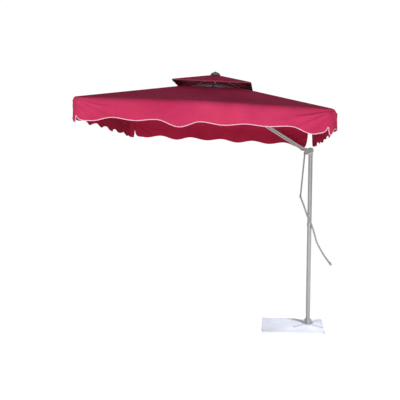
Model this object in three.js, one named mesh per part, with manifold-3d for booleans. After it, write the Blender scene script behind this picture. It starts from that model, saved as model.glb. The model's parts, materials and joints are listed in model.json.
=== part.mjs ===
// Cantilever parasol with a hand lever: a square two-tier canopy hangs from the end of a twin-rail arm.
// Millimetres, +Z up. The origin is on the ground, on the pole's axis. The canopy's sides lie along X and Y,
// and the arm leaves the pole along the diagonal (-1, -1). "out" is the distance from the pole along that
// diagonal, and "side" is the distance across it, towards (+1, -1), where the lever and its link are.
import * as THREE from 'three';
import { mergeVertices } from 'three/addons/utils/BufferGeometryUtils.js';
import Module from 'manifold-3d';

const wasm = await Module();
wasm.setup();

// ---- driving dimensions ----
const GAP = 0.4; // between neighbouring pieces
const TURN = -3 * Math.PI / 4; // turns local X onto the arm's diagonal
const SLAB = { left: -545, right: 185, front: -368, back: 200, height: 55, edge: 8 };
const CROSS = { reach: 235, width: 40, thick: 6 };
const FLANGE = { radius: 62, thick: 6, boltCircle: 46 };
const GUSSET = { reach: 57, height: 58, thick: 5 };
const BOLT = { radius: 5, head: 8.5, headHeight: 6, depth: 34 };
const POLE = { radius: 25, wall: 2, top: 2134 };
const HEAD = { wall: 4, bottom: 2062, top: 2134, front: 72 };
const HINGE = { out: 0, height: 2106 }; // where the arm turns on the pole
const LINK_TOP = { out: 145, height: 2073 };
const KNEE = { out: 206, height: 1593 };
const LEVER_PIVOT = { out: 0, height: 1240 };
const LEVER_ROUTE = [[206, 1593], [140, 1477], [79, 1359], [0, 1240], [-50, 1136], [-96, 1030], [-167, 931],
  [-248, 836], [-361, 727]]; // [out, height] down the bar's middle
const LEVER_BAR = { width: 24, thick: 5 };
const LINK = { width: 22 };
const GRIP = { radius: 15, length: 36 };
const PLATE = { near: 32, thick: 5 }; // the arm's heel plates and the lever lie in this layer
const LINK_LAYER = 38; // the link lies in the next layer out
const RAIL = { radius: 10.5, wall: 1.5, side: 25.5, heel: 128, heelHeight: 2126, past: 14 };
const CENTRE = { out: 1472, height: 2456 }; // middle of the canopy's rim
const TILT = THREE.MathUtils.degToRad(4.46); // the canopy's outer corner is up by this much
const HALF = 1100; // half of the canopy's side
const RISE = 343; // from the rim to the canopy's virtual peak
const CLOTH = 1.2; // thickness of the fabric
const VALANCE = { high: 149, low: 184, scallops: 6 }; // how far the hem hangs below the rim
const OPENING = 270; // half of the vent opening's side
const CAP = { half: 373, rim: 303, peak: 419, hem: 12 };
const HUB = { height: 311, radius: 80, thick: 16, hinge: 70 };
const SLOT = 11.4; // width of the slots that hold a rib's or a strut's end
const PIN_HEIGHT = 240; // the arm's end pin, above the rim plane
const STEM = { radius: 13, wall: 2, bottom: -50, top: 392 };
const RIB = { width: 10, height: 15, wall: 0.9, end: 9 };
const CORNER_RIB = { tip: 1507, strutAt: 485.2 }; // radius of the tip, and the strut pivot along the rib
const SIDE_RIB = { tip: 1072, strutAt: 500 };
const UNDER_CLOTH = 11.5; // from the fabric's outside to a rib's centreline
const LUG = { drop: 18, thick: 4, radius: 7 };
const STRUT = { width: 10, height: 12, wall: 1, ear: 2.2 };
const RUNNER = { height: -15, pivot: 45, radius: 56, sleeve: 24, bore: 15, thick: 16 };
const CATCH = { azimuth: 22.5, height: -36, radius: 3, head: 6 };
const CAP_HUB = { bottom: 392.5, top: 405, radius: 36, hinge: 24, hingeHeight: 399, slot: 7 };
const CAP_RIB = { width: 6, height: 5, tip: 515, tipHeight: 299 };
const FINIAL = { radius: 50, bottom: 409.5, hollow: 9.5, stub: 12, height: 40 }; // hollow: over the peak

// ---- materials ----
const painted = (color, roughness = 0.45, metalness = 0.3) =>
  new THREE.MeshStandardMaterial({ color, roughness, metalness });
const silver = painted(0xb4b5b8, 0.4, 0.6);
const steel = painted(0x8d9096, 0.35, 0.9);
const dark = painted(0x3a3d42, 0.6, 0.1);
const stone = painted(0xdfe4ee, 0.8, 0);
const cloth = painted(0xa81e40, 0.85, 0);

// ---- solids ----
function solid(geometry) {
  const bare = geometry.clone();
  bare.deleteAttribute('normal');
  bare.deleteAttribute('uv');
  const welded = mergeVertices(bare, 1e-4);
  return new wasm.Manifold(new wasm.Mesh({
    numProp: 3,
    vertProperties: new Float32Array(welded.attributes.position.array),
    triVerts: new Uint32Array(welded.index.array),
  }));
}

function geometryOf(body) {
  const mesh = body.getMesh();
  const geometry = new THREE.BufferGeometry();
  geometry.setAttribute('position', new THREE.BufferAttribute(mesh.vertProperties, 3));
  geometry.setIndex(new THREE.BufferAttribute(mesh.triVerts, 1));
  return geometry;
}

const join = (...parts) => geometryOf(parts.map(solid).reduce((a, b) => a.add(b)));
const cut = (part, ...tools) => geometryOf(tools.map(solid).reduce((a, b) => a.subtract(b), solid(part)));
const common = (a, b) => geometryOf(solid(a).intersect(solid(b)));

const block = (w, d, h, x = 0, y = 0, z = 0) => new THREE.BoxGeometry(w, d, h).translate(x, y, z);

// A round bar along X, Y or Z between two positions on that axis.
function rod(radius, axis, from, to, sides = 20) {
  const bar = new THREE.CylinderGeometry(radius, radius, to - from, sides).translate(0, (from + to) / 2, 0);
  if (axis === 'x') bar.rotateZ(-Math.PI / 2);
  if (axis === 'z') bar.rotateX(Math.PI / 2);
  return bar;
}

const pipe = (radius, wall, axis, from, to, sides = 24) =>
  cut(rod(radius, axis, from, to, sides), rod(radius - wall, axis, from - 1, to + 1, sides));

// A turned body from a profile of [radius, height] points.
const lathe = (points, sides) =>
  new THREE.LatheGeometry(points.map((p) => new THREE.Vector2(...p)), sides).rotateX(Math.PI / 2);

// A plate cut from an outline of [out, height] points, lying between two sides.
function plate(points, near, thick) {
  const shape = new THREE.Shape(points.map(([x, z]) => new THREE.Vector2(x, z)));
  const sheet = new THREE.ExtrudeGeometry(shape, { depth: thick, bevelEnabled: false });
  return sheet.rotateX(Math.PI / 2).translate(0, near + thick, 0);
}

const hole = (radius, out, height, near, far) => rod(radius, 'y', near, far, 16).translate(out, 0, height);

function disc(out, height, radius, near, thick) {
  return rod(radius, 'y', near, near + thick, 24).translate(out, 0, height);
}

// A flat bar with round ends between two [out, height] points.
function bar(a, b, width, near, thick) {
  const run = new THREE.Vector2(b.out - a.out, b.height - a.height);
  const side = new THREE.Vector2(-run.y, run.x).setLength(width / 2);
  const corner = (p, s) => [p.out + s * side.x, p.height + s * side.y];
  const straight = plate([corner(a, 1), corner(a, -1), corner(b, -1), corner(b, 1)], near, thick);
  const end = (p) => disc(p.out, p.height, width / 2, near, thick);
  return join(straight, end(a), end(b));
}

// A bolt along "side" with a round head at each end.
function bolt(at, radius, near, far, head, headThick) {
  return join(
    rod(radius, 'y', near, far, 16),
    rod(head, 'y', near - headThick, near, 16),
    rod(head, 'y', far, far + headThick, 16),
  ).translate(at.out, 0, at.height);
}

const model = new THREE.Group();
const mechanism = new THREE.Group(); // X is "out", Y is "side"
mechanism.rotation.z = TURN;
const canopy = new THREE.Group(); // at the middle of the rim, Z along the hub's axis
canopy.position.set(CENTRE.out, 0, CENTRE.height);
canopy.rotation.y = -TILT;
const square = new THREE.Group(); // turned back, so that X and Y lie along the canopy's sides
square.rotation.z = -TURN;
canopy.add(square);
mechanism.add(canopy);
model.add(mechanism);

function add(group, name, geometry, material) {
  const mesh = new THREE.Mesh(geometry, material);
  mesh.name = name;
  group.add(mesh);
  return mesh;
}

// ---- base: a stone slab with a steel cross and the pole's foot bolted on ----
const crossBottom = SLAB.height + GAP;
const crossTop = crossBottom + CROSS.thick;
const flangeBottom = crossTop + GAP;
const flangeTop = flangeBottom + FLANGE.thick;
const quarter = (n) => n * Math.PI / 2;

function boltPlaces() {
  const places = [];
  for (let n = 0; n < 4; n += 1) {
    const angle = quarter(n) + Math.PI / 4;
    places.push([FLANGE.boltCircle * Math.cos(angle), FLANGE.boltCircle * Math.sin(angle)]);
  }
  return places;
}

const boltHole = ([x, y]) =>
  rod(BOLT.radius + GAP, 'z', flangeBottom - BOLT.depth - 4, flangeTop + 1, 12).translate(x, y, 0);

function baseSlab() {
  const wide = SLAB.right - SLAB.left - 2 * SLAB.edge;
  const deep = SLAB.back - SLAB.front - 2 * SLAB.edge;
  const outline = [[0, 0], [wide, 0], [wide, deep], [0, deep]];
  const shape = new THREE.Shape(outline.map((p) => new THREE.Vector2(...p)));
  const body = new THREE.ExtrudeGeometry(shape, {
    depth: SLAB.height - 2 * SLAB.edge, bevelThickness: SLAB.edge, bevelSize: SLAB.edge, bevelSegments: 2,
  });
  body.translate(SLAB.left + SLAB.edge, SLAB.front + SLAB.edge, SLAB.edge);
  return cut(body, ...boltPlaces().map(boltHole));
}

function baseCross() {
  const strip = () => block(2 * CROSS.reach, CROSS.width, CROSS.thick, 0, 0, crossBottom + CROSS.thick / 2);
  const both = join(strip().rotateZ(Math.PI / 4), strip().rotateZ(-Math.PI / 4));
  return cut(both, ...boltPlaces().map(boltHole));
}

// Flange, a short sleeve round the pole, and four triangular gussets.
function poleFoot() {
  const inner = POLE.radius + GAP;
  const flange = rod(FLANGE.radius, 'z', flangeBottom, flangeTop, 32);
  const sleeve = pipe(inner + 2.6, 2.6, 'z', flangeTop - 1, flangeTop + 34, 32);
  const gusset = () => plate([
    [inner + 1, flangeTop - 1], [GUSSET.reach, flangeTop - 1], [GUSSET.reach, flangeTop + 8],
    [inner + 6, flangeTop + GUSSET.height], [inner + 1, flangeTop + GUSSET.height],
  ], -GUSSET.thick / 2, GUSSET.thick);
  const gussets = [0, 1, 2, 3].map((n) => gusset().rotateZ(quarter(n)));
  return cut(join(flange, sleeve, ...gussets), ...boltPlaces().map(boltHole));
}

function baseBolt([x, y]) {
  const shank = rod(BOLT.radius, 'z', flangeTop - BOLT.depth, flangeTop + 1, 12);
  const head = new THREE.CylinderGeometry(BOLT.head, BOLT.head, BOLT.headHeight, 6).rotateX(Math.PI / 2);
  head.translate(0, 0, flangeTop + GAP + BOLT.headHeight / 2);
  return join(shank, head).translate(x, y, 0);
}

add(model, 'base_slab', baseSlab(), stone);
add(model, 'base_cross', baseCross(), silver);
add(model, 'pole_foot', poleFoot(), silver);
boltPlaces().forEach((place, n) => add(model, `base_bolt_${n + 1}`, baseBolt(place), steel));

// ---- pole and its head ----
const hingeBore = hole(6 + GAP, HINGE.out, HINGE.height, -60, 60);

const pole = () => cut(pipe(POLE.radius, POLE.wall, 'z', flangeTop + GAP, POLE.top, 32), hingeBore);

function poleCap() {
  const { radius, wall, top } = POLE;
  return lathe([[0, top - 14], [radius - wall - GAP, top - 14], [radius - wall - GAP, top + GAP],
    [radius + 1, top + GAP], [radius + 1, top + 3], [radius - 5, top + 6], [0, top + 8]], 32);
}

// A band round the pole with two cheeks, open in front, so that a folding rib can pass between them.
function headBracket() {
  const { front, wall, bottom, top } = HEAD;
  const inner = POLE.radius + GAP;
  const height = top - bottom;
  const middle = (top + bottom) / 2;
  const band = rod(inner + wall, 'z', bottom, top, 40);
  const cheek = (side) => block(front, wall, height, front / 2, side * (inner + wall / 2), middle);
  const room = block(front, 2 * inner, height + 2, front / 2 + GAP, 0, middle);
  const bore = rod(inner, 'z', bottom - 1, top + 1, 40);
  const corner = block(30, 2 * (inner + wall) + 2, 34).rotateY(Math.PI / 4);
  corner.translate(front + 6, 0, bottom - 4);
  return cut(join(band, cheek(1), cheek(-1)), room, bore, corner, hingeBore);
}

const plateFar = PLATE.near + PLATE.thick;
add(mechanism, 'pole', pole(), silver);
add(mechanism, 'pole_cap', poleCap(), dark);
add(mechanism, 'head_bracket', headBracket(), silver);
add(mechanism, 'arm_hinge_bolt', bolt(HINGE, 6, -plateFar - GAP, plateFar + GAP, 10, 5), steel);

// ---- lever and link ----
function leverBracket() {
  const { out, height } = LEVER_PIVOT;
  const band = pipe(POLE.radius + GAP + 3, 3, 'z', height - 16, height + 16, 32);
  const boss = rod(13, 'y', POLE.radius + 2, PLATE.near - GAP, 24).translate(out, 0, height);
  const body = join(band, boss);
  const poleBore = rod(POLE.radius + GAP, 'z', height - 20, height + 20, 32);
  return cut(body, poleBore, hole(6 + GAP, out, height, 0, 60));
}

function leverCurve() {
  const points = LEVER_ROUTE.map(([out, height]) => new THREE.Vector3(out, 0, height));
  return new THREE.CatmullRomCurve3(points, false, 'centripetal');
}

function leverBar() {
  const curve = leverCurve();
  const steps = 26;
  const left = [];
  const right = [];
  for (let n = 0; n <= steps; n += 1) {
    const p = curve.getPointAt(n / steps);
    const t = curve.getTangentAt(n / steps);
    left.push([p.x - t.z * LEVER_BAR.width / 2, p.z + t.x * LEVER_BAR.width / 2]);
    right.unshift([p.x + t.z * LEVER_BAR.width / 2, p.z - t.x * LEVER_BAR.width / 2]);
  }
  const strip = plate([...left, ...right], PLATE.near, LEVER_BAR.thick);
  const eye = disc(KNEE.out, KNEE.height, LEVER_BAR.width / 2, PLATE.near, LEVER_BAR.thick);
  return cut(join(strip, eye), hole(6 + GAP, LEVER_PIVOT.out, LEVER_PIVOT.height, 0, 60));
}

// A round handle over the bar's lower end, with a slot for the bar.
function leverGrip() {
  const end = leverCurve().getPointAt(1);
  const t = leverCurve().getTangentAt(1);
  const { radius, length } = GRIP;
  const body = lathe([[0, -12], [radius - 5, -10], [radius, -4], [radius, length - 8],
    [radius - 4, length], [0, length]], 20);
  const room = block(LEVER_BAR.width + 2 * GAP, LEVER_BAR.thick + 2 * GAP, length + 4);
  room.translate(0, 0, length / 2 + 2 - GAP);
  const grip = cut(body, room).rotateY(Math.atan2(-t.x, -t.z));
  return grip.translate(end.x, PLATE.near + LEVER_BAR.thick / 2, end.z);
}

const linkFar = LINK_LAYER + LEVER_BAR.thick;
function linkBar() {
  const body = bar(LINK_TOP, KNEE, LINK.width, LINK_LAYER, LEVER_BAR.thick);
  const bores = [LINK_TOP, KNEE].map((p) => hole(5 + GAP, p.out, p.height, 0, 60));
  return cut(body, ...bores);
}

// The knee's bolt stays with the link and ends just clear of the lever.
function kneeBolt() {
  return join(
    rod(5, 'y', plateFar + GAP, linkFar + 1, 16),
    rod(9, 'y', linkFar + GAP, linkFar + 4.5, 20),
  ).translate(KNEE.out, 0, KNEE.height);
}

add(mechanism, 'lever_bracket', leverBracket(), steel);
add(mechanism, 'lever_bolt', join(
  rod(6, 'y', POLE.radius + 1.5, plateFar + 1, 16),
  rod(10.5, 'y', plateFar + GAP, plateFar + 5, 20),
).translate(LEVER_PIVOT.out, 0, LEVER_PIVOT.height), steel);
add(mechanism, 'lever_bar', leverBar(), silver);
add(mechanism, 'lever_grip', leverGrip(), dark);
add(mechanism, 'link_bar', linkBar(), silver);
add(mechanism, 'knee_bolt', kneeBolt(), dark);

// ---- arm: two rails, one each side of the rib that folds down between them ----
const pinPlace = {
  out: CENTRE.out - PIN_HEIGHT * Math.sin(TILT),
  height: CENTRE.height + PIN_HEIGHT * Math.cos(TILT),
};
const railLow = { out: RAIL.heel, height: RAIL.heelHeight };
const slope = Math.atan2(pinPlace.height - railLow.height, pinPlace.out - railLow.out);
const railLength = Math.hypot(pinPlace.out - railLow.out, pinPlace.height - railLow.height);

// The part of the front heel plate that hangs below the rail and takes the link's top bolt.
function linkLobe() {
  const { out, height } = LINK_TOP;
  const web = plate([[HINGE.out, HINGE.height - 12], [HINGE.out, HINGE.height + 12],
    [railLow.out, railLow.height], [out + 10, height + 8], [out, height - 12]], PLATE.near, PLATE.thick);
  return join(web, disc(out, height, 12, PLATE.near, PLATE.thick));
}

// Each rail's tube is welded to a heel plate that turns on the hinge bolt. The front one holds the link.
function armRail(side) {
  const tube = pipe(RAIL.radius, RAIL.wall, 'x', 0, railLength + RAIL.past, 16);
  tube.rotateY(-slope).translate(railLow.out, side * RAIL.side, railLow.height);
  const near = side > 0 ? PLATE.near : -plateFar;
  const upTube = {
    out: railLow.out + 60 * Math.cos(slope), height: railLow.height + 60 * Math.sin(slope),
  };
  const heel = [bar(HINGE, railLow, 28, near, PLATE.thick), bar(railLow, upTube, 17, near, PLATE.thick)];
  const bores = [hingeBore, hole(5 + GAP, pinPlace.out, pinPlace.height, -60, 60)];
  if (side > 0) {
    heel.push(linkLobe());
    bores.push(hole(5 + GAP, LINK_TOP.out, LINK_TOP.height, -60, 60));
  }
  return cut(join(tube, ...heel), ...bores);
}

add(mechanism, 'arm_rail_front', armRail(1), silver);
add(mechanism, 'arm_rail_rear', armRail(-1), silver);
add(mechanism, 'link_top_bolt', bolt(LINK_TOP, 5, PLATE.near - GAP, linkFar + GAP, 8, 3.5), steel);
const railFar = RAIL.side + RAIL.radius + GAP;
add(mechanism, 'hub_bolt', bolt(pinPlace, 5, -railFar, railFar, 9, 4), steel);

// ---- hub, stem and finial, in the canopy's own frame ----
const ring = (inner, outer, bottom, top, sides = 48) =>
  lathe([[inner, bottom], [outer, bottom], [outer, top], [inner, top], [inner, bottom]], sides);
const eighth = (n) => n * Math.PI / 4;
const slotAt = (angle, from, to, width, z, height) =>
  block(to - from, width, height, (from + to) / 2, 0, z).rotateZ(angle);

function hubStem() {
  const { radius, wall, bottom, top } = STEM;
  const yoke = block(34, 27, 37, 0, 0, PIN_HEIGHT);
  const body = join(rod(radius, 'z', bottom, top, 32), yoke);
  return cut(body, rod(radius - wall, 'z', bottom - 1, top + 1, 32), hole(5 + GAP, 0, PIN_HEIGHT, -60, 60));
}

function topHub() {
  const { height, radius, thick, hinge } = HUB;
  const body = ring(STEM.radius + GAP, radius, height - thick / 2, height + thick / 2);
  const slots = [];
  for (let n = 0; n < 8; n += 1) {
    slots.push(slotAt(eighth(n), hinge - 13, radius + 5, SLOT, height, thick + 2));
  }
  const channel = new THREE.TorusGeometry(hinge, 2 + GAP, 8, 64).translate(0, 0, height);
  return cut(body, ...slots, channel);
}

function capHub() {
  const { bottom, top, radius, hinge, hingeHeight, slot } = CAP_HUB;
  const body = join(
    rod(radius, 'z', bottom, top, 32),
    rod(STEM.radius - STEM.wall - GAP, 'z', bottom - 18, bottom + 1, 24),
  );
  const tools = [rod(5 + GAP, 'z', bottom - 20, top + 1, 16)];
  for (let n = 0; n < 4; n += 1) {
    const angle = quarter(n) + Math.PI / 4;
    tools.push(slotAt(angle, hinge - 5, radius + 5, slot, (bottom + top) / 2, top - bottom + 2));
    tools.push(rod(2 + GAP, 'y', -8, 8, 12).translate(hinge, 0, hingeHeight).rotateZ(angle));
  }
  return cut(body, ...tools);
}

function finial() {
  const { radius, bottom, hollow, stub, height } = FINIAL;
  return lathe([[0, bottom - stub], [5, bottom - stub], [5, bottom + hollow], [radius - 2, bottom],
    [radius, bottom + 3], [radius - 1, bottom + 10], [radius - 8, bottom + 20], [radius - 22, bottom + 29],
    [11, bottom + 34], [8, bottom + height - 2], [0, bottom + height]], 32);
}

add(canopy, 'hub_stem', hubStem(), steel);
add(square, 'top_hub', topHub(), dark);
const ringWire = new THREE.TorusGeometry(HUB.hinge, 2, 8, 64).translate(0, 0, HUB.height);
add(square, 'rib_ring_wire', ringWire, steel);
add(square, 'cap_hub', capHub(), dark);
add(square, 'finial', finial(), steel);

// ---- runner: the lower hub, which slides on the stem ----
function runner() {
  const { height, radius, sleeve, bore, thick } = RUNNER;
  const body = join(
    ring(bore, sleeve, height - 30, height + 26),
    ring(bore, radius, height - thick / 2, height + thick / 2),
  );
  const tools = [];
  for (let n = 0; n < 8; n += 1) {
    tools.push(slotAt(eighth(n), sleeve + 2, radius + 5, SLOT, height, thick + 2));
  }
  const catchBore = rod(CATCH.radius + GAP, 'x', bore - 3, sleeve + 3, 12).translate(0, 0, CATCH.height);
  tools.push(catchBore.rotateZ(THREE.MathUtils.degToRad(CATCH.azimuth)));
  return cut(body, ...tools);
}

function runnerCatch() {
  const { azimuth, height, radius, head } = CATCH;
  const button = join(rod(radius, 'x', STEM.radius + GAP, 27, 12), rod(head, 'x', 25, 30, 16));
  return button.translate(0, 0, height).rotateZ(THREE.MathUtils.degToRad(azimuth));
}

add(square, 'runner', runner(), dark);
add(square, 'runner_catch', runnerCatch(), steel);

// ---- ribs and struts: odd ones run to the sides' middles, even ones to the corners ----
// Height of the fabric's outside at a radius, for a rib that meets the rim at "reach".
const clothHeight = (radius, reach) => RISE * (1 - radius / reach);

function ribFacts(n) {
  const corner = n % 2 === 1;
  const kind = corner ? CORNER_RIB : SIDE_RIB;
  const reach = corner ? HALF * Math.SQRT2 : HALF;
  const drop = HUB.height - (clothHeight(kind.tip, reach) - UNDER_CLOTH);
  const run = kind.tip - HUB.hinge;
  const pitch = Math.atan2(drop, run);
  return { angle: eighth(n), pitch, length: Math.hypot(drop, run), strutAt: kind.strutAt };
}

const boxTube = (width, height, wall, from, to) => cut(
  block(to - from, width, height, (from + to) / 2),
  block(to - from + 2, width - 2 * wall, height - 2 * wall, (from + to) / 2),
);

function rib({ length, strutAt }) {
  const tube = boxTube(RIB.width, RIB.height, RIB.wall, -RIB.end, length);
  const tip = block(14, RIB.width + 2, RIB.height + 1, length + 1);
  const lug = plate([[strutAt - 15, -RIB.height / 2 + 0.5], [strutAt - LUG.radius, -LUG.drop],
    [strutAt - 4, -LUG.drop - 6], [strutAt + 4, -LUG.drop - 6], [strutAt + LUG.radius, -LUG.drop],
    [strutAt + 15, -RIB.height / 2 + 0.5]], -LUG.thick / 2, LUG.thick);
  const rivetHole = hole(2.5 + GAP, strutAt, -LUG.drop, -20, 20);
  return cut(join(tube, tip, lug), hole(2 + GAP, 0, 0, -20, 20), rivetHole);
}

// The strut's outer end is a fork riveted to the rib's lug, and its inner end lies in the runner's slot.
function strut(length) {
  const { width, height, wall, ear } = STRUT;
  const tube = boxTube(width, height, wall, 18, length + 6);
  const crown = block(8, width, height, 16);
  const side = (width - ear) / 2;
  const ears = [side, -side].map((y) => block(20, ear, height, 6, y));
  const rivet = rod(2.5, 'y', -width / 2 - 1, width / 2 + 1, 12);
  return cut(join(tube, crown, ...ears, rivet), hole(2 + GAP, length, 0, -20, 20));
}

function place(geometry, pitch, radius, height, angle) {
  return geometry.rotateY(pitch).translate(radius, 0, height).rotateZ(angle);
}

function strutOf({ angle, pitch, strutAt }) {
  const outer = {
    radius: HUB.hinge + strutAt * Math.cos(pitch) - LUG.drop * Math.sin(pitch),
    height: HUB.height - strutAt * Math.sin(pitch) - LUG.drop * Math.cos(pitch),
  };
  const run = outer.radius - RUNNER.pivot;
  const drop = outer.height - RUNNER.height;
  const lean = Math.PI - Math.atan2(drop, run);
  return place(strut(Math.hypot(run, drop)), lean, outer.radius, outer.height, angle);
}

for (let n = 0; n < 8; n += 1) {
  const facts = ribFacts(n);
  add(square, `rib_${n + 1}`, place(rib(facts), facts.pitch, HUB.hinge, HUB.height, facts.angle), silver);
  add(square, `strut_${n + 1}`, strutOf(facts), silver);
}

// ---- fabric: one panel to each rib, parted halfway between ribs ----
// A pyramid on a square skirt, with a flat bottom.
function tent(half, bottom, rim, peak) {
  const skirt = block(2 * half, 2 * half, rim - bottom, 0, 0, (rim + bottom) / 2);
  const roof = new THREE.ConeGeometry(half * Math.SQRT2, peak - rim, 4).rotateY(Math.PI / 4);
  return join(skirt, roof.rotateX(Math.PI / 2).translate(0, 0, (rim + peak) / 2));
}

// Everything below the scalloped hem of one side, in a thin upright slice at that side.
function scallopCutter(n) {
  const { high, low, scallops } = VALANCE;
  const steps = 5;
  const points = [[HALF + 20, -low - 40], [-HALF - 20, -low - 40], [-HALF - 20, -high]];
  for (let i = 0; i <= scallops * steps; i += 1) {
    const wave = Math.abs(Math.sin(Math.PI * i / steps));
    points.push([-HALF + 2 * HALF * i / (scallops * steps), -high - (low - high) * wave]);
  }
  points.push([HALF + 20, -high]);
  return plate(points, HALF - 12, 24).rotateZ(quarter(n));
}

function sector(angle, spread, size) {
  const reach = size * 1.5;
  const arm = (s) => new THREE.Vector2(reach * Math.cos(s * spread), reach * Math.sin(s * spread));
  const wedge = new THREE.ExtrudeGeometry(new THREE.Shape([new THREE.Vector2(0, 0), arm(-1), arm(1)]),
    { depth: 1200, bevelEnabled: false });
  return wedge.translate(GAP / 2 / Math.sin(spread), 0, -500).rotateZ(angle);
}

function mainCloth() {
  const shell = cut(
    tent(HALF, -VALANCE.low - 1, 0, RISE),
    tent(HALF - CLOTH, -VALANCE.low - 20, 0, RISE - CLOTH * 1.05),
  );
  const vent = block(2 * OPENING, 2 * OPENING, 2 * RISE, 0, 0, RISE);
  return cut(shell, vent, ...[0, 1, 2, 3].map(scallopCutter));
}

function capCloth() {
  const { half, rim, peak, hem } = CAP;
  const room = tent(half - CLOTH, rim - hem - 20, rim, peak - CLOTH * 1.05);
  return cut(tent(half, rim - hem, rim, peak), room, rod(8, 'z', rim, peak + 10, 16));
}

const mainFabric = mainCloth();
for (let n = 0; n < 8; n += 1) {
  const panel = common(mainFabric, sector(eighth(n), Math.PI / 8, 2 * HALF));
  add(square, `canopy_panel_${n + 1}`, panel, cloth);
}

// ---- vent cap: four light ribs to its corners, and its fabric in four corner panels ----
function capRib() {
  const { width, height, tip, tipHeight } = CAP_RIB;
  const run = tip - CAP_HUB.hinge;
  const drop = CAP_HUB.hingeHeight - tipHeight;
  const bar = block(Math.hypot(run, drop) + 4, width, height, Math.hypot(run, drop) / 2 - 2);
  const axle = rod(2, 'y', -7, 7, 12);
  return place(join(bar, axle), Math.atan2(drop, run), CAP_HUB.hinge, CAP_HUB.hingeHeight, 0);
}

const capFabric = capCloth();
for (let n = 0; n < 4; n += 1) {
  const angle = quarter(n) + Math.PI / 4;
  add(square, `cap_rib_${n + 1}`, capRib().rotateZ(angle), steel);
  add(square, `cap_panel_${n + 1}`, common(capFabric, sector(angle, Math.PI / 4, 2 * CAP.half)), cloth);
}

export default model;
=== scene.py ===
import json
import math

import bpy
import numpy as np
from mathutils import Matrix, Vector

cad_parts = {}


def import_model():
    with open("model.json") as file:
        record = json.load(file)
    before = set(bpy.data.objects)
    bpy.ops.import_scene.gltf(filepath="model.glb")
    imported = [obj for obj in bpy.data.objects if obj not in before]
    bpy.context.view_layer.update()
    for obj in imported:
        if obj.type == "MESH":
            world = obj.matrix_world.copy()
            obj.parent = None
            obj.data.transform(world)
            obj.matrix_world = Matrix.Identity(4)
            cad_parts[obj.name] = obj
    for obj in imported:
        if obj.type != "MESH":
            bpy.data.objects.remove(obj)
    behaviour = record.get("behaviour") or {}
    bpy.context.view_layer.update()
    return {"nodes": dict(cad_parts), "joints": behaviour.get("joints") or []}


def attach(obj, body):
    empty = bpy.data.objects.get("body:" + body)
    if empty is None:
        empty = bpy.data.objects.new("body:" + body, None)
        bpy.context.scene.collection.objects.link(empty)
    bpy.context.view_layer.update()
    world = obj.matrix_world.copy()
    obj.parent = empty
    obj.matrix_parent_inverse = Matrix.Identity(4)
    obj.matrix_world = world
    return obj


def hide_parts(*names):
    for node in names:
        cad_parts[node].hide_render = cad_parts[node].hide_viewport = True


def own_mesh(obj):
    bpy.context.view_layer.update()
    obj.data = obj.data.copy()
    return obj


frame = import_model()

# ---- driving dimensions, in metres; the canopy's are in its own square frame, up from the rim plane ----
HALF = 1.1  # half of the canopy's side
RISE = 0.343  # from the rim to the pyramid's virtual peak
CORNER = 0.08  # radius of the rim's corners in plan
CLOTH = 0.0012
OPENING = 0.27  # half of the vent opening's side
CROWN = 0.02  # the rim is this much higher halfway along a side than at the corners
SAG = 0.011  # the roof hangs this much between two ribs
ROLL = {"corner": 0.012, "side": 0.062}  # how far below the rim the cloth that bends over it hangs straight
BEND = {"corner": 0.992, "side": 0.95}  # the share of the way out where it starts to bend
SCALLOPS = 6
HEM = {"high": 0.154, "low": 0.184}
# The valance's cut at each corner, counted round from the pole's. Each pair is for the panels before and
# after the cut: where they end, measured round the rim from the corner, their ends' radii, how low they hang
# there, and over what length they join the scallops. The floor is how far below the rim the gap starts.
CUTS = (
    {"ends": (0.033, 0.086), "radii": (0.018, 0.045), "tails": (0.190, 0.200), "fade": (0.12, 0.14),
     "floor": 0.012},
    {"ends": (-0.052, -0.044), "radii": (0.055, 0.022), "tails": (0.178, 0.196), "fade": (0.12, 0.12),
     "floor": 0.112},
    {"ends": (0.037, 0.043), "radii": (0.018, 0.095), "tails": (0.214, 0.195), "fade": (0.08, 0.14),
     "floor": 0.158},
    {"ends": (-0.070, -0.064), "radii": (0.105, 0.020), "tails": (0.203, 0.208), "fade": (0.08, 0.07),
     "floor": 0.147},
)
# How much lower than the mean each scallop hangs, counted round from each side's start: +X, +Y, -X, -Y.
LOWS = (
    (-0.028, 0.004, -0.006, 0.005, -0.003, 0.002),
    (0.012, -0.003, 0.002, -0.006, 0.004, 0.000),
    (0.004, -0.005, 0.006, -0.002, 0.005, -0.004),
    (0.006, -0.013, 0.021, -0.012, -0.020, 0.022),
)
SCALLOP = 2 * HALF / SCALLOPS
FOLDS = ((16, 0.6, 0.008), (37, 1.9, 0.005))  # the valance's soft folds: how many round it, phase, depth
# Creases that fan out from each corner: the angle below the rim, the width and the depth of each.
CREASES = ((0.20, 0.075, 0.010), (0.42, 0.095, 0.009), (0.78, 0.13, 0.007))
PIPING = {"height": 0.0078, "thick": 0.0030}
SEAM = {"width": 0.016, "thick": 0.0009}
HUB_HEIGHT = 0.311
CAP = {"half": 0.373, "rim": 0.303, "peak": 0.419, "hem": 0.011, "hole": 0.009}
STEER = 2  # columns past each end of a bay, which only steer its normals
OUTSIDE, INSIDE, HEM_TAPE, SEAM_TAPE = range(4)  # a bay's material slots
CAMERA = {"place": (-0.471, -7.051, 2.183), "pitch": -5.35, "yaw": 6.64, "lens": 53.74}
JOINTS = {joint["name"]: joint for joint in frame["joints"]}


# ---- the canopy's own frame, read from the joints ----
def canopy_frame():
    """Carries square coordinates to the row's frame."""
    up = -Vector(JOINTS["canopy_fold"]["axis"]).normalized()
    across = Vector(JOINTS["rib_1_fold"]["axis"]).normalized()
    side = across.cross(up)
    hub = (Vector(JOINTS["rib_1_fold"]["pos_m"]) + Vector(JOINTS["rib_5_fold"]["pos_m"])) / 2
    turn = Matrix((side, across, up)).transposed().to_4x4()
    return Matrix.Translation(hub - HUB_HEIGHT * up) @ turn


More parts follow.
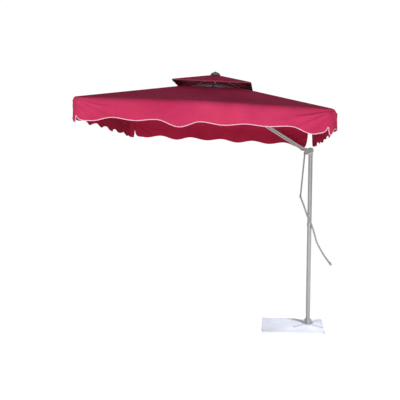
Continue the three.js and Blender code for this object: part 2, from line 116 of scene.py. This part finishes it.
SQUARE = canopy_frame()
TURN = np.array(SQUARE.to_3x3())
ORIGIN = np.array(SQUARE.translation)
PLUMB = TURN.T @ np.array((0.0, 0.0, -1.0))  # straight down, in square coordinates


def to_row(points):
    return np.asarray(points, float) @ TURN.T + ORIGIN


def smooth(x):
    x = np.clip(x, 0.0, 1.0)
    return x * x * (3 - 2 * x)


# ---- materials ----
def material(name, base, rough, metal=0.0, **sockets):
    made = bpy.data.materials.new(name)
    made.use_nodes = True
    shader = made.node_tree.nodes["Principled BSDF"]
    shader.inputs["Base Color"].default_value = (*base, 1)
    shader.inputs["Roughness"].default_value = rough
    shader.inputs["Metallic"].default_value = metal
    for key, value in sockets.items():
        shader.inputs[key.replace("_", " ")].default_value = value
    return made, made.node_tree, shader


def node(tree, kind, **values):
    made = tree.nodes.new(kind)
    for key, value in values.items():
        if key in made.inputs:
            made.inputs[key].default_value = value
        else:
            setattr(made, key, value)
    return made


def link(tree, source, target, out=0, into=0):
    tree.links.new(source.outputs[out], target.inputs[into])
    return target


def noise(tree, where, scale, detail=3.0, rough=0.55):
    made = node(tree, "ShaderNodeTexNoise", Scale=scale, Detail=detail, Roughness=rough)
    link(tree, where, made, 0, "Vector")
    return made


def scaled(tree, coordinates, output, scale):
    made = node(tree, "ShaderNodeMapping", Scale=scale)
    tree.links.new(coordinates.outputs[output], made.inputs["Vector"])
    return made


def ramp(tree, source, low, high, colors):
    made = tree.nodes.new("ShaderNodeValToRGB")
    made.color_ramp.elements[0].position = low
    made.color_ramp.elements[1].position = high
    made.color_ramp.elements[0].color = (*colors[0], 1)
    made.color_ramp.elements[1].color = (*colors[1], 1)
    tree.links.new(source.outputs["Fac"], made.inputs["Fac"])
    return made


def mixed(tree, a, b, share, mode="MIX"):
    """Two colours together. share is a number, or a node whose first output is the share."""
    made = node(tree, "ShaderNodeMix", data_type="RGBA", blend_type=mode)
    for source, socket in ((a, 6), (b, 7)):
        if isinstance(source, tuple):
            made.inputs[socket].default_value = (*source, 1)
        else:
            tree.links.new(color_of(source), made.inputs[socket])
    if isinstance(share, float):
        made.inputs[0].default_value = share
    else:
        tree.links.new(share.outputs[0], made.inputs[0])
    return made


def color_of(source):
    return source.outputs[2] if source.type == "MIX" else source.outputs["Color"]


def bump(tree, shader, source, out, strength, distance, below=None):
    made = node(tree, "ShaderNodeBump", Strength=strength, Distance=distance)
    tree.links.new(source.outputs[out], made.inputs["Height"])
    if below:
        tree.links.new(below.outputs["Normal"], made.inputs["Normal"])
    tree.links.new(made.outputs["Normal"], shader.inputs["Normal"])
    return made


def rough_from(tree, shader, source, low, high):
    made = node(tree, "ShaderNodeMapRange")
    made.inputs["To Min"].default_value = low
    made.inputs["To Max"].default_value = high
    tree.links.new(source.outputs["Fac"], made.inputs["Value"])
    tree.links.new(made.outputs["Result"], shader.inputs["Roughness"])


def weave(tree, coordinates, pitch):
    """The height of a plain weave of that pitch, over UVs in metres."""
    threads = []
    for direction in ("X", "Y"):
        wave = node(tree, "ShaderNodeTexWave", bands_direction=direction, Scale=math.pi / 10 / pitch)
        wave.inputs["Distortion"].default_value = 0.6
        wave.inputs["Detail Scale"].default_value = 0.5
        tree.links.new(coordinates.outputs["UV"], wave.inputs["Vector"])
        threads.append(wave)
    made = node(tree, "ShaderNodeMath", operation="MULTIPLY")
    tree.links.new(threads[0].outputs["Fac"], made.inputs[0])
    tree.links.new(threads[1].outputs["Fac"], made.inputs[1])
    return made


def fabric(name, light, dark, pitch=0.0011):
    """Woven polyester: a plain weave, slight slubs, faded and dusty patches."""
    made, tree, shader = material(name, dark, 0.86, Specular_IOR_Level=0.04)
    coordinates = node(tree, "ShaderNodeTexCoord")
    patches = noise(tree, scaled(tree, coordinates, "UV", (1.7, 2.3, 1)), 1.0, 4.0)
    slubs = noise(tree, scaled(tree, coordinates, "UV", (40, 420, 1)), 1.0, 2.0)
    threads = weave(tree, coordinates, pitch)
    tone = ramp(tree, patches, 0.3, 0.72, (dark, light))
    streak = ramp(tree, slubs, 0.35, 0.75, ((0.86, 0.86, 0.86), (1.0, 1.0, 1.0)))
    tinted = mixed(tree, tone, streak, 0.6, "MULTIPLY")
    grain = mixed(tree, tinted, (0.84, 0.84, 0.84), threads, "MULTIPLY")
    tree.links.new(color_of(grain), shader.inputs["Base Color"])
    rough_from(tree, shader, patches, 0.8, 0.93)
    soft = bump(tree, shader, slubs, "Fac", 0.25, 0.0006)
    bump(tree, shader, threads, 0, 0.5, 0.0004, soft)
    return made


def stitched(name, base, thread, pitch=0.0042):
    """Tape or seam with two rows of stitches. Its UVs are (0 to 1 across, metres along)."""
    made, tree, shader = material(name, base, 0.8, Specular_IOR_Level=0.15)
    coordinates = node(tree, "ShaderNodeTexCoord")
    parts = node(tree, "ShaderNodeSeparateXYZ")
    tree.links.new(coordinates.outputs["UV"], parts.inputs[0])
    rows = node(tree, "ShaderNodeMath", operation="PINGPONG")
    rows.inputs[1].default_value = 0.5
    tree.links.new(parts.outputs["X"], rows.inputs[0])
    near = node(tree, "ShaderNodeMath", operation="COMPARE")
    near.inputs[1].default_value = 0.2
    near.inputs[2].default_value = 0.05
    tree.links.new(rows.outputs[0], near.inputs[0])
    step = node(tree, "ShaderNodeMath", operation="FRACT")
    along = node(tree, "ShaderNodeMath", operation="DIVIDE")
    along.inputs[1].default_value = pitch
    tree.links.new(parts.outputs["Y"], along.inputs[0])
    tree.links.new(along.outputs[0], step.inputs[0])
    dash = node(tree, "ShaderNodeMath", operation="LESS_THAN")
    dash.inputs[1].default_value = 0.68
    tree.links.new(step.outputs[0], dash.inputs[0])
    stitch = node(tree, "ShaderNodeMath", operation="MULTIPLY")
    tree.links.new(near.outputs[0], stitch.inputs[0])
    tree.links.new(dash.outputs[0], stitch.inputs[1])
    fuzz = noise(tree, scaled(tree, coordinates, "UV", (6, 500, 1)), 1.0, 2.0)
    cloth = ramp(tree, fuzz, 0.3, 0.75, (tuple(0.82 * c for c in base), base))
    colour = mixed(tree, cloth, thread, stitch)
    tree.links.new(color_of(colour), shader.inputs["Base Color"])
    fine = bump(tree, shader, fuzz, "Fac", 0.3, 0.0004)
    bump(tree, shader, stitch, 0, 0.6, 0.0005, fine)
    return made


def painted(name, base, worn, rough, metal, grain=160.0):
    """Silver paint or plating: fine orange peel, faint rubbed patches, dust that dulls it."""
    made, tree, shader = material(name, base, rough, metal)
    coordinates = node(tree, "ShaderNodeTexCoord")
    patches = noise(tree, scaled(tree, coordinates, "Object", (5, 5, 2.2)), 1.0, 5.0)
    peel = noise(tree, scaled(tree, coordinates, "Object", (grain, grain, grain)), 1.0, 2.0)
    scratches = noise(tree, scaled(tree, coordinates, "Object", (300, 300, 9)), 1.0, 2.0)
    tone = ramp(tree, patches, 0.35, 0.7, (worn, base))
    fine = ramp(tree, scratches, 0.3, 0.62, ((0.9, 0.9, 0.9), (1.0, 1.0, 1.0)))
    colour = mixed(tree, tone, fine, 0.7, "MULTIPLY")
    tree.links.new(color_of(colour), shader.inputs["Base Color"])
    rough_from(tree, shader, patches, rough + 0.12, rough - 0.06)
    low = bump(tree, shader, peel, "Fac", 0.18, 0.0004)
    bump(tree, shader, scratches, "Fac", 0.12, 0.0003, low)
    return made


def moulded(name, base, rough, grain=700.0):
    """Moulded plastic or rubber with a fine leathery grain and paler handling marks."""
    made, tree, shader = material(name, base, rough, Specular_IOR_Level=0.4)
    coordinates = node(tree, "ShaderNodeTexCoord")
    marks = noise(tree, scaled(tree, coordinates, "Object", (14, 14, 14)), 1.0, 5.0)
    cells = node(tree, "ShaderNodeTexVoronoi", Scale=grain)
    tree.links.new(coordinates.outputs["Object"], cells.inputs["Vector"])
    pale = tuple(min(1.0, 1.7 * c + 0.012) for c in base)
    tone = ramp(tree, marks, 0.4, 0.8, (base, pale))
    tree.links.new(color_of(tone), shader.inputs["Base Color"])
    rough_from(tree, shader, marks, rough - 0.05, rough + 0.15)
    bump(tree, shader, cells, "Distance", 0.35, 0.0005)
    return made


def cast_stone(name):
    """Pale cast stone: fine aggregate, a few grey water marks, and air holes coloured grey as painted shade
    in them.
    """
    base, grey, speck = (0.80, 0.83, 0.92), (0.66, 0.69, 0.76), (0.52, 0.54, 0.6)
    made, tree, shader = material(name, base, 0.78, Specular_IOR_Level=0.3)
    coordinates = node(tree, "ShaderNodeTexCoord")
    stains = noise(tree, scaled(tree, coordinates, "Object", (3.5, 3.5, 6)), 1.0, 6.0, 0.6)
    grit = noise(tree, scaled(tree, coordinates, "Object", (260, 260, 260)), 1.0, 2.0)
    holes = node(tree, "ShaderNodeTexVoronoi", Scale=85.0)
    tree.links.new(coordinates.outputs["Object"], holes.inputs["Vector"])
    pits = node(tree, "ShaderNodeMath", operation="LESS_THAN")
    pits.inputs[1].default_value = 0.13
    tree.links.new(holes.outputs["Distance"], pits.inputs[0])
    tone = ramp(tree, stains, 0.36, 0.62, (grey, base))
    sand = ramp(tree, grit, 0.38, 0.6, (speck, (1.0, 1.0, 1.0)))
    gritty = mixed(tree, tone, sand, 0.25, "MULTIPLY")
    # The air holes take the grey too: painted shade inside the pits.
    shaded_pits = mixed(tree, gritty, grey, pits)
    tree.links.new(color_of(shaded_pits), shader.inputs["Base Color"])
    rough_from(tree, shader, stains, 0.88, 0.7)
    rough = bump(tree, shader, grit, "Fac", 0.35, 0.0008)
    bump(tree, shader, pits, 0, -0.4, 0.001, rough)
    return made


WINE = fabric("wine_fabric", (0.60, 0.048, 0.130), (0.46, 0.026, 0.086))
# The cloth's inside face: the same wine fabric in darker colours, painted shade under the canopy.
SHADED_LINING = fabric("wine_inside_painted_shade", (0.36, 0.016, 0.048), (0.25, 0.009, 0.033))
# The vent cap's inside face: the same wine fabric, darker still, painted shade under the cap.
SHADED_CAP_LINING = fabric("cap_inside_painted_shade", (0.13, 0.007, 0.018), (0.08, 0.004, 0.012))
TAPE = stitched("pink_piping", (0.86, 0.42, 0.53), (0.92, 0.62, 0.70))
RIDGE = stitched("wine_seam", (0.42, 0.018, 0.07), (0.62, 0.08, 0.16))
# The vent cap's hem piping: darker than the main hem's pink piping, painted shade on the cap's hem.
SHADED_CAP_TAPE = stitched("cap_piping_painted_shade", (0.22, 0.05, 0.08), (0.34, 0.14, 0.18))
SILVER = painted("silver_paint", (0.36, 0.36, 0.355), (0.31, 0.31, 0.305), 0.42, 0.25)
# Ribs, struts and cap ribs: near black, painted shade for the frame inside the canopy.
SHADED_TUBE = painted("tube_painted_shade", (0.13, 0.12, 0.125), (0.10, 0.095, 0.10), 0.42, 0.3)
PLATED = painted("plated_steel", (0.42, 0.42, 0.44), (0.30, 0.30, 0.32), 0.32, 0.9, 240.0)
BRACKET = painted("bracket_paint", (0.60, 0.62, 0.65), (0.52, 0.54, 0.57), 0.45, 0.2)
PALE = painted("pale_paint", (0.66, 0.66, 0.74), (0.56, 0.55, 0.62), 0.5, 0.1)
FOOT = painted("foot_paint", (0.44, 0.46, 0.47), (0.34, 0.36, 0.37), 0.5, 0.2)
BLACK = moulded("black_plastic", (0.022, 0.023, 0.026), 0.5)
GREY_GRIP = moulded("grey_grip", (0.30, 0.30, 0.31), 0.62, 420.0)
STONE = cast_stone("cast_stone")


def dress(names, made):
    for name in names:
        mesh = frame["nodes"][name].data
        mesh.materials.clear()
        mesh.materials.append(made)


def soften(name, angle=32.0):
    """Shades a CAD node's round faces smoothly and keeps its real edges sharp."""
    mesh = frame["nodes"][name].data
    mesh.polygons.foreach_set("use_smooth", [True] * len(mesh.polygons))
    mesh.set_sharp_from_angle(angle=math.radians(angle))


def numbered(stem, count):
    return [f"{stem}_{n + 1}" for n in range(count)]


for name in frame["nodes"]:
    if "panel" not in name:
        soften(name)
dress(["base_slab"], STONE)
dress(["pole", "lever_bar", "link_bar", "arm_rail_front", "arm_rail_rear"], SILVER)
dress([*numbered("rib", 8), *numbered("strut", 8), *numbered("cap_rib", 4)], SHADED_TUBE)
dress([*numbered("base_bolt", 4), "lever_bolt", "link_top_bolt", "hub_bolt", "knee_bolt",
       "rib_ring_wire", "runner_catch", "hub_stem", "finial", "lever_bracket"], PLATED)
dress(["head_bracket", "arm_hinge_bolt"], BRACKET)
dress(["pole_foot"], FOOT)
dress(["base_cross"], PALE)
dress(["pole_cap", "top_hub", "cap_hub", "runner"], BLACK)
dress(["lever_grip"], GREY_GRIP)


# ---- mesh building ----
class Sheet:
    """Collects quads with a normal and a UV at each point, for one piece made of several materials."""

    def __init__(self):
        self.points, self.normals, self.uvs, self.faces, self.slots = [], [], [], [], []

    def grid(self, points, normals, uvs, slot, flip=False, wrap=False):
        """points, normals and uvs are rows by columns. wrap joins the last row to the first."""
        rows, columns = points.shape[:2]
        start = sum(len(p) for p in self.points)
        self.points.append(points.reshape(-1, 3))
        self.normals.append(normals.reshape(-1, 3))
        self.uvs.append(uvs.reshape(-1, 2))
        for i in range(rows if wrap else rows - 1):
            for j in range(columns - 1):
                k = (i + 1) % rows
                quad = [start + i * columns + j, start + i * columns + j + 1,
                        start + k * columns + j + 1, start + k * columns + j]
                self.faces.append(quad if flip else quad[::-1])
                self.slots.append(slot)

    def piece(self, name, materials):
        mesh = bpy.data.meshes.new(name)
        points = to_row(np.concatenate(self.points))
        mesh.from_pydata(points.tolist(), [], self.faces)
        for made in materials:
            mesh.materials.append(made)
        mesh.polygons.foreach_set("material_index", self.slots)
        mesh.polygons.foreach_set("use_smooth", [True] * len(mesh.polygons))
        layer = mesh.uv_layers.new(name="UVMap")
        corners = np.zeros(len(mesh.loops), int)
        mesh.loops.foreach_get("vertex_index", corners)
        layer.data.foreach_set("uv", np.concatenate(self.uvs)[corners].ravel())
        normals = np.concatenate(self.normals) @ TURN.T
        mesh.normals_split_custom_set_from_vertices(normals.tolist())
        made = bpy.data.objects.new(name, mesh)
        bpy.context.scene.collection.objects.link(made)
        return made


def unit(v):
    return v / np.maximum(np.linalg.norm(v, axis=-1, keepdims=True), 1e-12)


def grid_normals(points):
    """Normals of a grid of points, pointing out of the canopy."""
    down = np.gradient(points, axis=0)
    along = np.gradient(points, axis=1)
    return unit(np.cross(down, along))


def close_edge(sheet, outer, inner, uvs, slot, flip):
    """The narrow strip between a cloth's two faces along one edge."""
    facing = unit(np.cross(inner - outer, np.gradient(outer, axis=0))) * (-1 if flip else 1)
    sheet.grid(np.stack((outer, inner)), np.stack((facing, facing)), np.stack((uvs, uvs)), slot, flip)


def cloth(sheet, points, uvs):
    """Both faces of a cloth and its closed edges, without the columns that only steer the normals."""
    normals = grid_normals(points)
    keep = slice(STEER, -STEER)
    outer, up, flat = points[:, keep], normals[:, keep], uvs[:, keep]
    inner = outer - CLOTH * up
    sheet.grid(outer, up, flat, OUTSIDE)
    sheet.grid(inner, -up, flat, INSIDE, flip=True)
    for edge, flip in ((0, True), (-1, False)):
        close_edge(sheet, outer[edge], inner[edge], flat[edge], OUTSIDE, flip)
    for edge, flip in ((0, False), (-1, True)):
        close_edge(sheet, outer[:, edge], inner[:, edge], flat[:, edge], OUTSIDE, flip)


# ---- the main canopy ----
def rim_point(azimuth):
    """The rim in plan: a square with round corners."""
    direction = np.stack((np.cos(azimuth), np.sin(azimuth)), -1)
    folded = np.sort(np.abs(direction), axis=-1)[:, ::-1]  # larger part first
    straight = HALF / folded[:, 0]
    middle = HALF - CORNER
    reach = middle * folded.sum(-1)
    inside = np.maximum(reach ** 2 - 2 * middle ** 2 + CORNER ** 2, 0)
    rounded = reach + np.sqrt(inside)
    in_corner = straight * folded[:, 1] > middle
    return direction * np.where(in_corner, rounded, straight)[:, None]


def out_of(plan):
    """The rim's outward normal in plan."""
    side = np.clip(np.abs(plan) - (HALF - CORNER), 0, None) * np.sign(plan)
    flat = np.where(np.abs(plan) >= np.abs(plan).max(-1, keepdims=True) - 1e-9, plan, 0)
    return unit(np.where(side.sum(-1, keepdims=True) == 0, flat, side))


def round_corner(azimuth):
    """The nearest corner's number from the pole's, and the distance round the rim from it."""
    number = np.floor(azimuth / (math.pi / 2)).astype(int)
    within = azimuth - (number + 0.5) * math.pi / 2
    return number % 4, np.sign(within) * HALF * (1 - np.tan(math.pi / 4 - np.abs(within)))


def scallops(azimuth, plan):
    """How far the hem would hang below the rim without the corners' cuts."""
    side = np.floor(azimuth / (math.pi / 2) + 0.5).astype(int) % 4
    along = np.choose(side, (plan[:, 1], -plan[:, 0], -plan[:, 1], plan[:, 0]))
    place = (along + HALF) / SCALLOP
    extra = np.array(LOWS)[side, np.clip(place.astype(int), 0, SCALLOPS - 1)]
    return HEM["high"] + (HEM["low"] - HEM["high"] + extra) * np.sin(math.pi * place) ** 2


def hem_drop(azimuth, plan):
    """How far the hem hangs below the rim: level at mid-side, scalloped, and cut at the corners."""
    drop = scallops(azimuth, plan)
    corner, place = round_corner(azimuth)
    for number, cut in enumerate(CUTS):
        first, last = cut["ends"]
        before = place < (first + last) / 2
        beyond = np.where(before, first - place, place - last)
        radius, tail, fade = (np.where(before, *cut[key]) for key in ("radii", "tails", "fade"))
        near = smooth((1.4 * fade - beyond) / fade)
        panel = drop + (tail - drop) * near
        end = 1 - np.clip(beyond / radius, 0, 1)
        trimmed = cut["floor"] + (panel - cut["floor"]) * np.sqrt(1 - end ** 2)
        drop = np.where(corner == number, trimmed, drop)
    return drop


def crown(plan):
    """The rim is this much higher than at the corners."""
    return CROWN * (1 - (np.abs(plan).min(-1) / HALF) ** 2)


def roof_height(share, azimuth, plan):
    """Height of the roof at a share of the way out to the rim."""
    slack = np.sin(4 * azimuth) ** 2
    ripple = 0.0012 * np.sin(26 * azimuth + 9 * share) * share
    hang = SAG * slack * np.sin(math.pi * np.clip((share - 0.2) / 0.8, 0, 1)) ** 0.8
    pyramid = RISE * (1 - share * np.abs(plan).max(-1) / HALF)
    return pyramid + crown(plan) * share ** 3 - hang + ripple * slack


def creases(from_corner, depth, corner):
    """Folds that run down from a corner of the rim across the valance, the deepest at the last corner."""
    angle = np.arctan2(depth, from_corner + 0.004)
    fade = smooth((0.6 - from_corner) / 0.45) * smooth(depth / 0.03)
    strength = 0.7 + 0.8 * (corner == 3)
    total = 0
    for middle, width, size in CREASES:
        total = total + size * np.exp(-(((angle - middle - 0.03 * corner) / width) ** 2))
    return total * fade * strength


def by_place(values, place):
    """A dimension that changes from its value at a corner to its value along the sides."""
    return values["corner"] + (values["side"] - values["corner"]) * smooth(np.abs(place) / 0.3)


ROOF_ROWS = np.concatenate((np.linspace(0, 0.98, 34), [1.0]))
ROLL_ROWS = np.linspace(0, 1, 10)
DROP_ROWS = np.linspace(0, 1, 25)[1:]


def canopy_grid(azimuth):
    """The main canopy's outside over those azimuths, from the vent opening over the rim to the hem."""
    plan = rim_point(azimuth)
    out = np.concatenate((out_of(plan), np.zeros((len(plan), 1))), -1)
    reach = np.linalg.norm(plan, axis=-1)
    rim = np.concatenate((plan, roof_height(1.0, azimuth, plan)[:, None]), -1)
    corner, place = round_corner(azimuth)
    rows, depths = [], []
    for t in ROOF_ROWS:
        share = OPENING / HALF + (by_place(BEND, place) - OPENING / HALF) * t
        rows.append(np.concatenate((plan * share[:, None], roof_height(share, azimuth, plan)[:, None]), -1))
        depths.append((share - 1) * reach)
    drop = hem_drop(azimuth, plan) + crown(plan)
    roll = np.minimum(by_place(ROLL, place), 0.6 * drop)
    last = rows[-1]
    hang = rim + roll[:, None] * PLUMB
    for t in ROLL_ROWS[1:]:
        rows.append((1 - t) ** 2 * last + 2 * t * (1 - t) * rim + t * t * hang)
        depths.append(depths[len(ROOF_ROWS) - 1] * (1 - t) + roll * t)
    for t in DROP_ROWS:
        depth = roll + (drop - roll) * t
        swing = sum(size * np.sin(count * azimuth + phase) for count, phase, size in FOLDS) * smooth(t * 1.1)
        fold = creases(np.abs(place), depth, corner)
        rows.append(rim + depth[:, None] * PLUMB + (swing + fold)[:, None] * out)
        depths.append(depth)
    perimeter = 8 * HALF * azimuth / (2 * math.pi)
    uvs = np.stack((np.broadcast_to(perimeter, (len(rows), len(plan))), np.array(depths)), -1)
    return np.array(rows), uvs


EDGE_STEPS = np.array((-0.05, 0, 0.004, 0.015, 0.04, 0.09, 0.17, 0.3, 0.5, 0.75))


def bay_columns(n):
    """Azimuths of a bay's columns; a corner bay's are close together at its cut's edges."""
    middle = n * math.pi / 4
    if n % 2 == 0:
        return middle + np.arctan(np.linspace(-1, 1, 41) * math.tan(math.pi / 8))
    last = HALF * (1 - math.tan(math.pi / 8))
    places = [np.linspace(-last, last, 105)]
    cut = CUTS[n // 2]
    for edge, radius, side in zip(cut["ends"], cut["radii"], (-1, 1)):
        places.append(edge + side * radius * EDGE_STEPS)
    places = np.sort(np.concatenate(places))
    places = places[np.concatenate(([True], np.diff(places) > 1e-4))]
    return middle + np.sign(places) * (math.pi / 4 - np.arctan(1 - np.abs(places) / HALF))


def wider(columns, by=STEER):
    """The same columns with a few more beyond each end, which steer the normals there."""
    before = columns[0] - (columns[1] - columns[0]) * np.arange(by, 0, -1)
    after = columns[-1] + (columns[-1] - columns[-2]) * np.arange(1, by + 1)
    return np.concatenate((before, columns, after))


def piping(sheet, edge, up, inward, length):
    """A flat cord sewn outside the hem. edge, up and inward are its points, normals and cloth side."""
    height, thick = PIPING["height"], PIPING["thick"]
    turns = np.linspace(0, 2 * math.pi, 9)[:-1]
    across = np.cos(turns)
    out = np.sin(turns)
    rows = np.array([edge + inward * (height * (0.42 + 0.5 * c)) + up * thick * (0.55 + 0.5 * s)
                     for c, s in zip(across, out)])
    normals = np.array([unit(inward * c / height + up * s / thick) for c, s in zip(across, out)])
    uvs = np.array([np.stack((np.full(len(edge), (c + 1) / 2), length), -1) for c in across])
    sheet.grid(rows, normals, uvs, HEM_TAPE, wrap=True)


def edge_frame(points):
    """Along a grid's last row: points, outward normals, directions into the cloth, lengths along."""
    up = grid_normals(points)[-1]
    edge = points[-1]
    run = unit(np.gradient(edge, axis=0))
    inward = unit(np.cross(up, run))
    length = np.concatenate(([0], np.cumsum(np.linalg.norm(np.diff(edge, axis=0), axis=-1))))
    return edge, up, inward, length


def hemmed(points, uvs):
    """A bay's cloth with the piping along its hem."""
    sheet = Sheet()
    cloth(sheet, points, uvs)
    piping(sheet, *(values[STEER:-STEER] for values in edge_frame(points)))
    return sheet


def ridge_seam(sheet, middle):
    """A raised double-stitched seam along a corner's ridge, from the opening to the rim."""
    width = SEAM["width"] / 2
    shares = OPENING / HALF + (BEND["corner"] - OPENING / HALF) * ROOF_ROWS
    rows = []
    for offset in (-1.0, -0.5, 0.0, 0.5, 1.0):
        line = []
        for share in shares:
            reach = HALF * math.sqrt(2) * share
            turn = np.array([middle + offset * width / reach])
            plan = rim_point(turn)
            height = roof_height(share, turn, plan)[0]
            lift = SEAM["thick"] if abs(offset) < 1 else -CLOTH / 2
            line.append((*(plan[0] * share), height + lift))
        rows.append(line)
    points = np.array(rows)
    normals = -grid_normals(points)
    length = np.linalg.norm(points[2] - points[2][0], axis=-1)
    uvs = np.array([np.stack((np.full(len(shares), k / 4), length), -1) for k in range(5)])
    sheet.grid(points, normals, uvs, SEAM_TAPE, flip=True)


def ride_on(made, body, panel):
    """The piece stands in for its panel and rides on its rib."""
    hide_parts(panel)
    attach(made, body)
    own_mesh(made)


def canopy_bay(n):
    sheet = hemmed(*canopy_grid(wider(bay_columns(n))))
    if n % 2:
        ridge_seam(sheet, n * math.pi / 4)
    made = sheet.piece(f"canopy_bay_{n + 1}", [WINE, SHADED_LINING, TAPE, RIDGE])
    ride_on(made, f"rib_{n + 1}", f"canopy_panel_{n + 1}")
    return made


bays = [canopy_bay(n) for n in range(8)]


# ---- the vent cap ----
def cap_grid(azimuth):
    direction = np.stack((np.cos(azimuth), np.sin(azimuth)), -1)
    plan = direction * (CAP["half"] / np.abs(direction).max(-1))[:, None]
    out = np.concatenate((out_of(plan * HALF / CAP["half"]), np.zeros((len(plan), 1))), -1)
    slack = np.sin(2 * azimuth - math.pi / 2) ** 2
    rise = CAP["peak"] - CAP["rim"]
    rows, depths = [], []
    start = CAP["hole"] / CAP["half"]
    for share in np.concatenate((np.linspace(start, 0.97, 26), [0.985, 0.995])):
        hang = 0.006 * slack * math.sin(math.pi * share)
        height = CAP["rim"] + rise * (1 - share) - hang
        rows.append(np.concatenate((plan * share, height[:, None]), -1))
        depths.append((share - 1) * np.linalg.norm(plan, axis=-1))
    rim = np.concatenate((plan, np.full((len(plan), 1), CAP["rim"])), -1)
    for t in np.linspace(0.12, 1, 6):
        depth = CAP["hem"] * t
        swing = 0.003 * t * np.sin(azimuth * 20 + 1.0)
        rows.append(rim + depth * PLUMB + swing[:, None] * out)
        depths.append(np.full(len(plan), depth))
    perimeter = 8 * CAP["half"] * azimuth / (2 * math.pi)
    uvs = np.stack((np.broadcast_to(perimeter, (len(rows), len(plan))), np.array(depths)), -1)
    return np.array(rows), uvs


def cap_bay(n):
    middle = n * math.pi / 2 + math.pi / 4
    legs = np.arctan2(np.linspace(0, CAP["half"] - 0.002, 26), CAP["half"]) - math.pi / 4
    columns = middle + np.concatenate((legs, [0.0], -legs[::-1]))
    made = hemmed(*cap_grid(wider(columns))).piece(f"cap_bay_{n + 1}", [WINE, SHADED_CAP_LINING, SHADED_CAP_TAPE])
    ride_on(made, f"cap_rib_{n + 1}", f"cap_panel_{n + 1}")
    return made


caps = [cap_bay(n) for n in range(4)]


# ---- floor, light and camera ----
def stage():
    made, _, shader = material("pale_floor", (0.88, 0.88, 0.88), 0.9)
    shader.inputs["Emission Color"].default_value = (1, 1, 1, 1)
    shader.inputs["Emission Strength"].default_value = 0.73
    bpy.ops.mesh.primitive_plane_add(size=120, location=(0, 0, -0.0005))
    floor = bpy.context.object
    floor.name = "floor"
    floor.data.materials.append(made)


def fade_of(tree, source, out, limits, curve="SMOOTHSTEP"):
    """A smooth step of one coordinate. limits are its low, its high, and the results there."""
    made = node(tree, "ShaderNodeMapRange", interpolation_type=curve)
    for key, value in zip(("From Min", "From Max", "To Min", "To Max"), limits):
        made.inputs[key].default_value = value
    tree.links.new(source.outputs[out], made.inputs["Value"])
    return made


def world():
    """White in front and behind, dimmer to the sides, dark overhead, as between two tall soft boxes. It is
    plain white where it is looked at directly."""
    made = bpy.data.worlds.new("studio")
    made.use_nodes = True
    tree = made.node_tree
    where = node(tree, "ShaderNodeTexCoord")
    parts = node(tree, "ShaderNodeSeparateXYZ")
    tree.links.new(where.outputs["Generated"], parts.inputs[0])
    across = node(tree, "ShaderNodeMath", operation="ABSOLUTE")
    tree.links.new(parts.outputs["X"], across.inputs[0])
    sides = fade_of(tree, across, 0, (0.5, 0.85, 1.02, 0.1))
    top = fade_of(tree, parts, "Z", (0.27, 0.6, 1.0, 0.27))
    both = node(tree, "ShaderNodeMath", operation="MULTIPLY")
    tree.links.new(sides.outputs["Result"], both.inputs[0])
    tree.links.new(top.outputs["Result"], both.inputs[1])
    seen = node(tree, "ShaderNodeLightPath")
    strength = node(tree, "ShaderNodeMath", operation="MAXIMUM")
    tree.links.new(both.outputs[0], strength.inputs[0])
    tree.links.new(seen.outputs["Is Camera Ray"], strength.inputs[1])
    background = tree.nodes["Background"]
    background.inputs["Color"].default_value = (1, 1, 1, 1)
    tree.links.new(strength.outputs[0], background.inputs["Strength"])
    bpy.context.scene.world = made


def lamp(name, kind, place, aim, power, color, size):
    """A soft box or a spot. size is the box's side in metres, or the spot's cone in degrees."""
    data = bpy.data.lights.new(name, kind)
    data.energy = power
    data.color = color
    if kind == "SPOT":
        data.spot_size = math.radians(size)
        data.spot_blend = 0.7
        data.shadow_soft_size = 0.3
    else:
        data.size = size
    made = bpy.data.objects.new(name, data)
    made.location = place
    made.rotation_euler = (Vector(aim) - Vector(place)).to_track_quat("-Z", "Y").to_euler()
    bpy.context.scene.collection.objects.link(made)


def camera():
    data = bpy.data.cameras.new("camera")
    data.lens = CAMERA["lens"]
    made = bpy.data.objects.new("camera", data)
    made.location = CAMERA["place"]
    made.rotation_euler = (math.radians(90 + CAMERA["pitch"]), 0, math.radians(CAMERA["yaw"]))
    bpy.context.scene.collection.objects.link(made)
    bpy.context.scene.camera = made


camera()
stage()
world()
lamp("front_key", "AREA", (-1.2, -8.5, 1.5), (-0.9, -1.0, 2.2), 225.0, (1.0, 0.98, 1.0), 1.6)
lamp("base_spot", "SPOT", (0.9, -0.9, 3.0), (-0.16, -0.07, 0.05), 430.0, (0.95, 0.97, 1.0), 24.0)
bpy.context.scene.view_settings.view_transform = "Standard"
